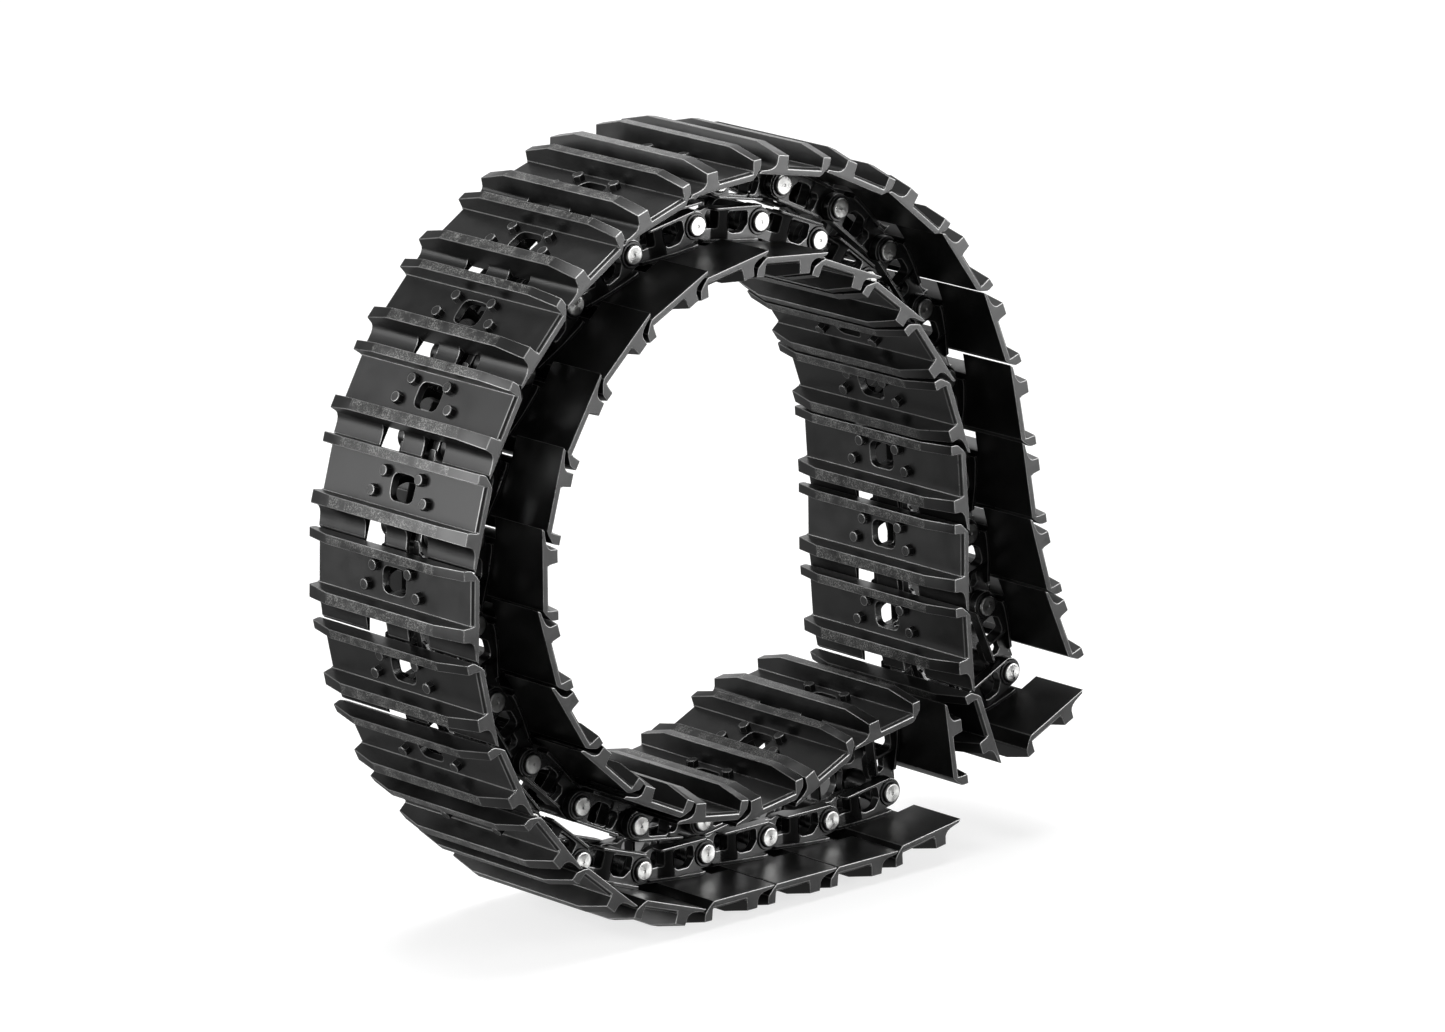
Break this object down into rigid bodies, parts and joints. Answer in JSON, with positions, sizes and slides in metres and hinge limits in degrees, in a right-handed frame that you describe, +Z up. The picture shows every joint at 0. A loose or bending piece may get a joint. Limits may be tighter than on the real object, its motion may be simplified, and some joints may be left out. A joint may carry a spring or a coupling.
{
  "type": "excavator track chain",
  "caption": "Endless steel track chain of a model excavator, double-grouser shoes on pinned side links, folded flat into a double strand and curled into a standing C.",
  "frame": {"origin": "middle of the bounding box's bottom face: the surface that the folded chain stands on", "axes": "+X from the closed back of the C to its open side, +Y across the track along the pins, +Z up"},
  "size_m": [0.1504, 0.0406, 0.1372],
  "materials": {
    "black_steel": "satin black, worn lighter on the grousers",
    "pin_steel": "turned bright",
    "bolt_steel": "satin black oxide"
  },
  "bodies": {
    "link_01": {"link_01": "black_steel"},
    "link_02": {"master_shoe": "black_steel", "master_side_link_near": "black_steel", "master_side_link_far": "black_steel", "master_bushing": "black_steel", "master_pin": "pin_steel", "master_bolt_1": "bolt_steel", "master_bolt_2": "bolt_steel", "master_bolt_3": "bolt_steel", "master_bolt_4": "bolt_steel"},
    "link_03": {"link_03": "black_steel"},
    "link_04": {"link_04": "black_steel"},
    "link_05": {"link_05": "black_steel"},
    "link_06": {"link_06": "black_steel"},
    "link_07": {"link_07": "black_steel"},
    "link_08": {"link_08": "black_steel"},
    "link_09": {"link_09": "black_steel"},
    "link_10": {"link_10": "black_steel"},
    "link_11": {"link_11": "black_steel"},
    "link_12": {"link_12": "black_steel"},
    "link_13": {"link_13": "black_steel"},
    "link_14": {"link_14": "black_steel"},
    "link_15": {"link_15": "black_steel"},
    "link_16": {"link_16": "black_steel"},
    "link_17": {"link_17": "black_steel"},
    "link_18": {"link_18": "black_steel"},
    "link_19": {"link_19": "black_steel"},
    "link_20": {"link_20": "black_steel"},
    "link_21": {"link_21": "black_steel"},
    "link_22": {"link_22": "black_steel"},
    "link_23": {"link_23": "black_steel"},
    "link_24": {"link_24": "black_steel"},
    "link_25": {"link_25": "black_steel"},
    "link_26": {"link_26": "black_steel"},
    "link_27": {"link_27": "black_steel"},
    "link_28": {"link_28": "black_steel"},
    "link_29": {"link_29": "black_steel"},
    "link_30": {"link_30": "black_steel"},
    "link_31": {"link_31": "black_steel"},
    "link_32": {"link_32": "black_steel"},
    "link_33": {"link_33": "black_steel"},
    "link_34": {"link_34": "black_steel"},
    "link_35": {"link_35": "black_steel"},
    "link_36": {"link_36": "black_steel"},
    "link_37": {"link_37": "black_steel"},
    "link_38": {"link_38": "black_steel"},
    "link_39": {"link_39": "black_steel"},
    "link_40": {"link_40": "black_steel"},
    "link_41": {"link_41": "black_steel"},
    "link_42": {"link_42": "black_steel"},
    "link_43": {"link_43": "black_steel"},
    "link_44": {"link_44": "black_steel"},
    "link_45": {"link_45": "black_steel"},
    "link_46": {"link_46": "black_steel"},
    "link_47": {"link_47": "black_steel"},
    "link_48": {"link_48": "black_steel"},
    "link_49": {"link_49": "black_steel"},
    "link_50": {"link_50": "black_steel"}
  },
  "joints": [
    {"name": "pivot_04", "type": "hinge", "parent": "link_03", "child": "link_04", "pos_m": [-0.00625, 0, 0.0084], "axis": [0, 1, 0], "range_deg": [-17.6, 100]},
    {"name": "pivot_05", "type": "hinge", "parent": "link_04", "child": "link_05", "pos_m": [-0.02125, 0, 0.0084], "axis": [0, 1, 0], "range_deg": [-35.7, 81.9]},
    {"name": "pivot_06", "type": "hinge", "parent": "link_05", "child": "link_06", "pos_m": [-0.03551, 0, 0.01306], "axis": [0, 1, 0], "range_deg": [-38.6, 79]},
    {"name": "pivot_07", "type": "hinge", "parent": "link_06", "child": "link_07", "pos_m": [-0.04715, 0, 0.02252], "axis": [0, 1, 0], "range_deg": [-28.2, 89.4]},
    {"name": "pivot_08", "type": "hinge", "parent": "link_07", "child": "link_08", "pos_m": [-0.05685, 0, 0.03396], "axis": [0, 1, 0], "range_deg": [-31.5, 86.2]},
    {"name": "pivot_09", "type": "hinge", "parent": "link_08", "child": "link_09", "pos_m": [-0.06354, 0, 0.04738], "axis": [0, 1, 0], "range_deg": [-31.5, 86.2]},
    {"name": "pivot_10", "type": "hinge", "parent": "link_09", "child": "link_10", "pos_m": [-0.06684, 0, 0.06202], "axis": [0, 1, 0], "range_deg": [-31.5, 86.2]},
    {"name": "pivot_11", "type": "hinge", "parent": "link_10", "child": "link_11", "pos_m": [-0.06655, 0, 0.07701], "axis": [0, 1, 0], "range_deg": [-31.8, 85.9]},
    {"name": "pivot_12", "type": "hinge", "parent": "link_11", "child": "link_12", "pos_m": [-0.0626, 0, 0.09148], "axis": [0, 1, 0], "range_deg": [-31.8, 85.9]},
    {"name": "pivot_13", "type": "hinge", "parent": "link_12", "child": "link_13", "pos_m": [-0.05521, 0, 0.10454], "axis": [0, 1, 0], "range_deg": [-31.9, 85.8]},
    {"name": "pivot_14", "type": "hinge", "parent": "link_13", "child": "link_14", "pos_m": [-0.04485, 0, 0.11538], "axis": [0, 1, 0], "range_deg": [-31.9, 85.8]},
    {"name": "pivot_15", "type": "hinge", "parent": "link_14", "child": "link_15", "pos_m": [-0.03214, 0, 0.12335], "axis": [0, 1, 0], "range_deg": [-31.9, 85.8]},
    {"name": "pivot_16", "type": "hinge", "parent": "link_15", "child": "link_16", "pos_m": [-0.01787, 0, 0.12796], "axis": [0, 1, 0], "range_deg": [-31.9, 85.8]},
    {"name": "pivot_17", "type": "hinge", "parent": "link_16", "child": "link_17", "pos_m": [-0.0029, 0, 0.12893], "axis": [0, 1, 0], "range_deg": [-31.9, 85.8]},
    {"name": "pivot_18", "type": "hinge", "parent": "link_17", "child": "link_18", "pos_m": [0.01185, 0, 0.1262], "axis": [0, 1, 0], "range_deg": [-31.9, 85.8]},
    {"name": "pivot_19", "type": "hinge", "parent": "link_18", "child": "link_19", "pos_m": [0.02548, 0, 0.11993], "axis": [0, 1, 0], "range_deg": [-31.9, 85.8]},
    {"name": "pivot_20", "type": "hinge", "parent": "link_19", "child": "link_20", "pos_m": [0.03715, 0, 0.11051], "axis": [0, 1, 0], "range_deg": [-31.9, 85.8]},
    {"name": "pivot_21", "type": "hinge", "parent": "link_20", "child": "link_21", "pos_m": [0.04616, 0, 0.09852], "axis": [0, 1, 0], "range_deg": [-31.9, 85.8]},
    {"name": "pivot_22", "type": "hinge", "parent": "link_21", "child": "link_22", "pos_m": [0.05195, 0, 0.08468], "axis": [0, 1, 0], "range_deg": [-28.5, 89.2]},
    {"name": "pivot_23", "type": "hinge", "parent": "link_22", "child": "link_23", "pos_m": [0.05502, 0, 0.06999], "axis": [0, 1, 0], "range_deg": [-18.9, 98.8]},
    {"name": "pivot_24", "type": "hinge", "parent": "link_23", "child": "link_24", "pos_m": [0.05777, 0, 0.05525], "axis": [0, 1, 0], "range_deg": [-10.7, 107]},
    {"name": "pivot_25", "type": "hinge", "parent": "link_24", "child": "link_25", "pos_m": [0.06231, 0, 0.04095], "axis": [0, 1, 0], "range_deg": [-10.7, 107]},
    {"name": "pivot_26", "type": "hinge", "parent": "link_25", "child": "link_26", "pos_m": [0.06855, 0, 0.02731], "axis": [0, 1, 0], "range_deg": [-107.5, 10.2]},
    {"name": "pivot_27", "type": "hinge", "parent": "link_26", "child": "link_27", "pos_m": [0.05493, 0, 0.02103], "axis": [0, 1, 0], "range_deg": [-110.8, 6.8]},
    {"name": "pivot_03", "type": "hinge", "parent": "link_03", "child": "link_02", "pos_m": [0.00875, 0, 0.0084], "axis": [0, -1, 0], "range_deg": [-17.6, 100]},
    {"name": "pivot_02", "type": "hinge", "parent": "link_02", "child": "link_01", "pos_m": [0.02375, 0, 0.0084], "axis": [0, -1, 0], "range_deg": [-25.9, 91.7]},
    {"name": "pivot_01", "type": "hinge", "parent": "link_01", "child": "link_50", "pos_m": [0.03859, 0, 0.01057], "axis": [0, -1, 0], "range_deg": [-8.24, 0]},
    {"name": "pivot_50", "type": "hinge", "parent": "link_50", "child": "link_49", "pos_m": [0.03617, 0, 0.02537], "axis": [0, -1, 0], "range_deg": [-107.6, 10.1]},
    {"name": "pivot_49", "type": "hinge", "parent": "link_49", "child": "link_48", "pos_m": [0.02136, 0, 0.02296], "axis": [0, -1, 0], "range_deg": [-33.1, 84.6]},
    {"name": "pivot_48", "type": "hinge", "parent": "link_48", "child": "link_47", "pos_m": [0.00773, 0, 0.0167], "axis": [0, -1, 0], "range_deg": [-1.2, 116.5]},
    {"name": "pivot_47", "type": "hinge", "parent": "link_47", "child": "link_46", "pos_m": [-0.00712, 0, 0.01457], "axis": [0, -1, 0], "range_deg": [-1.2, 116.5]},
    {"name": "pivot_46", "type": "hinge", "parent": "link_46", "child": "link_45", "pos_m": [-0.02196, 0, 0.01675], "axis": [0, -1, 0], "range_deg": [-1.2, 116.5]},
    {"name": "pivot_45", "type": "hinge", "parent": "link_45", "child": "link_44", "pos_m": [-0.03557, 0, 0.02306], "axis": [0, -1, 0], "range_deg": [-1.2, 116.5]},
    {"name": "pivot_44", "type": "hinge", "parent": "link_44", "child": "link_43", "pos_m": [-0.04683, 0, 0.03297], "axis": [0, -1, 0], "range_deg": [-1.7, 116]},
    {"name": "pivot_43", "type": "hinge", "parent": "link_43", "child": "link_42", "pos_m": [-0.05492, 0, 0.04559], "axis": [0, -1, 0], "range_deg": [-1.7, 116]},
    {"name": "pivot_42", "type": "hinge", "parent": "link_42", "child": "link_41", "pos_m": [-0.05922, 0, 0.05997], "axis": [0, -1, 0], "range_deg": [-1.7, 116]},
    {"name": "pivot_41", "type": "hinge", "parent": "link_41", "child": "link_40", "pos_m": [-0.05939, 0, 0.07496], "axis": [0, -1, 0], "range_deg": [-1.7, 116]},
    {"name": "pivot_40", "type": "hinge", "parent": "link_40", "child": "link_39", "pos_m": [-0.05542, 0, 0.08943], "axis": [0, -1, 0], "range_deg": [-1.7, 116]},
    {"name": "pivot_39", "type": "hinge", "parent": "link_39", "child": "link_38", "pos_m": [-0.04762, 0, 0.10224], "axis": [0, -1, 0], "range_deg": [-1.6, 116.1]},
    {"name": "pivot_38", "type": "hinge", "parent": "link_38", "child": "link_37", "pos_m": [-0.03658, 0, 0.1124], "axis": [0, -1, 0], "range_deg": [-1.7, 116]},
    {"name": "pivot_37", "type": "hinge", "parent": "link_37", "child": "link_36", "pos_m": [-0.02318, 0, 0.11913], "axis": [0, -1, 0], "range_deg": [-1.7, 116]},
    {"name": "pivot_36", "type": "hinge", "parent": "link_36", "child": "link_35", "pos_m": [-0.00844, 0, 0.1219], "axis": [0, -1, 0], "range_deg": [-1.7, 116]},
    {"name": "pivot_35", "type": "hinge", "parent": "link_35", "child": "link_34", "pos_m": [0.0065, 0, 0.12051], "axis": [0, -1, 0], "range_deg": [-1.7, 116]},
    {"name": "pivot_34", "type": "hinge", "parent": "link_34", "child": "link_33", "pos_m": [0.02047, 0, 0.11504], "axis": [0, -1, 0], "range_deg": [-1.7, 116]},
    {"name": "pivot_33", "type": "hinge", "parent": "link_33", "child": "link_32", "pos_m": [0.03239, 0, 0.10594], "axis": [0, -1, 0], "range_deg": [-1.7, 116]},
    {"name": "pivot_32", "type": "hinge", "parent": "link_32", "child": "link_31", "pos_m": [0.04135, 0, 0.09391], "axis": [0, -1, 0], "range_deg": [-1.6, 116.1]},
    {"name": "pivot_31", "type": "hinge", "parent": "link_31", "child": "link_30", "pos_m": [0.04664, 0, 0.07987], "axis": [0, -1, 0], "range_deg": [-1.7, 116]},
    {"name": "pivot_30", "type": "hinge", "parent": "link_30", "child": "link_29", "pos_m": [0.04785, 0, 0.06492], "axis": [0, -1, 0], "range_deg": [-13.8, 103.8]},
    {"name": "pivot_29", "type": "hinge", "parent": "link_29", "child": "link_28", "pos_m": [0.04808, 0, 0.04992], "axis": [0, -1, 0], "range_deg": [-22, 95.7]}
  ],
  "couplings": [
    {"joint": "pivot_04", "follows": "pivot_01", "ratio": -0.36753},
    {"joint": "pivot_05", "follows": "pivot_01", "ratio": 0.36953},
    {"joint": "pivot_06", "follows": "pivot_01", "ratio": 0.38151},
    {"joint": "pivot_07", "follows": "pivot_01", "ratio": 0.64337},
    {"joint": "pivot_08", "follows": "pivot_01", "ratio": 0.75951},
    {"joint": "pivot_09", "follows": "pivot_01", "ratio": 0.39236},
    {"joint": "pivot_10", "follows": "pivot_01", "ratio": -0.16599},
    {"joint": "pivot_11", "follows": "pivot_01", "ratio": -0.48859},
    {"joint": "pivot_12", "follows": "pivot_01", "ratio": -0.20928},
    {"joint": "pivot_13", "follows": "pivot_01", "ratio": 0.30167},
    {"joint": "pivot_14", "follows": "pivot_01", "ratio": 0.57545},
    {"joint": "pivot_15", "follows": "pivot_01", "ratio": 0.50063},
    {"joint": "pivot_16", "follows": "pivot_01", "ratio": 0.35498},
    {"joint": "pivot_17", "follows": "pivot_01", "ratio": 0.29181},
    {"joint": "pivot_18", "follows": "pivot_01", "ratio": 0.319},
    {"joint": "pivot_19", "follows": "pivot_01", "ratio": 0.37556},
    {"joint": "pivot_20", "follows": "pivot_01", "ratio": 0.36785},
    {"joint": "pivot_21", "follows": "pivot_01", "ratio": 0.27755},
    {"joint": "pivot_22", "follows": "pivot_01", "ratio": 0.18894},
    {"joint": "pivot_23", "follows": "pivot_01", "ratio": -1.3313},
    {"joint": "pivot_24", "follows": "pivot_01", "ratio": 0.19368},
    {"joint": "pivot_25", "follows": "pivot_01", "ratio": 0.74167},
    {"joint": "pivot_26", "follows": "pivot_01", "ratio": 0.056677},
    {"joint": "pivot_27", "follows": "pivot_01", "ratio": -0.37134},
    {"joint": "pivot_03", "follows": "pivot_01", "ratio": -0.32548},
    {"joint": "pivot_02", "follows": "pivot_01", "ratio": -0.46735},
    {"joint": "pivot_50", "follows": "pivot_01", "ratio": -0.051018},
    {"joint": "pivot_49", "follows": "pivot_01", "ratio": 0.11605},
    {"joint": "pivot_48", "follows": "pivot_01", "ratio": -0.24362},
    {"joint": "pivot_47", "follows": "pivot_01", "ratio": -0.30318},
    {"joint": "pivot_46", "follows": "pivot_01", "ratio": -0.39141},
    {"joint": "pivot_45", "follows": "pivot_01", "ratio": -0.35528},
    {"joint": "pivot_44", "follows": "pivot_01", "ratio": -0.25938},
    {"joint": "pivot_43", "follows": "pivot_01", "ratio": -0.18256},
    {"joint": "pivot_42", "follows": "pivot_01", "ratio": -0.14108},
    {"joint": "pivot_41", "follows": "pivot_01", "ratio": -0.13063},
    {"joint": "pivot_40", "follows": "pivot_01", "ratio": -0.14833},
    {"joint": "pivot_39", "follows": "pivot_01", "ratio": -0.19702},
    {"joint": "pivot_38", "follows": "pivot_01", "ratio": -0.27769},
    {"joint": "pivot_37", "follows": "pivot_01", "ratio": -0.36961},
    {"joint": "pivot_36", "follows": "pivot_01", "ratio": -0.41872},
    {"joint": "pivot_35", "follows": "pivot_01", "ratio": -0.39078},
    {"joint": "pivot_34", "follows": "pivot_01", "ratio": -0.32799},
    {"joint": "pivot_33", "follows": "pivot_01", "ratio": -0.2984},
    {"joint": "pivot_32", "follows": "pivot_01", "ratio": -0.34658},
    {"joint": "pivot_31", "follows": "pivot_01", "ratio": -0.4703},
    {"joint": "pivot_30", "follows": "pivot_01", "ratio": 0.60811},
    {"joint": "pivot_29", "follows": "pivot_01", "ratio": 0.12641}
  ]
}
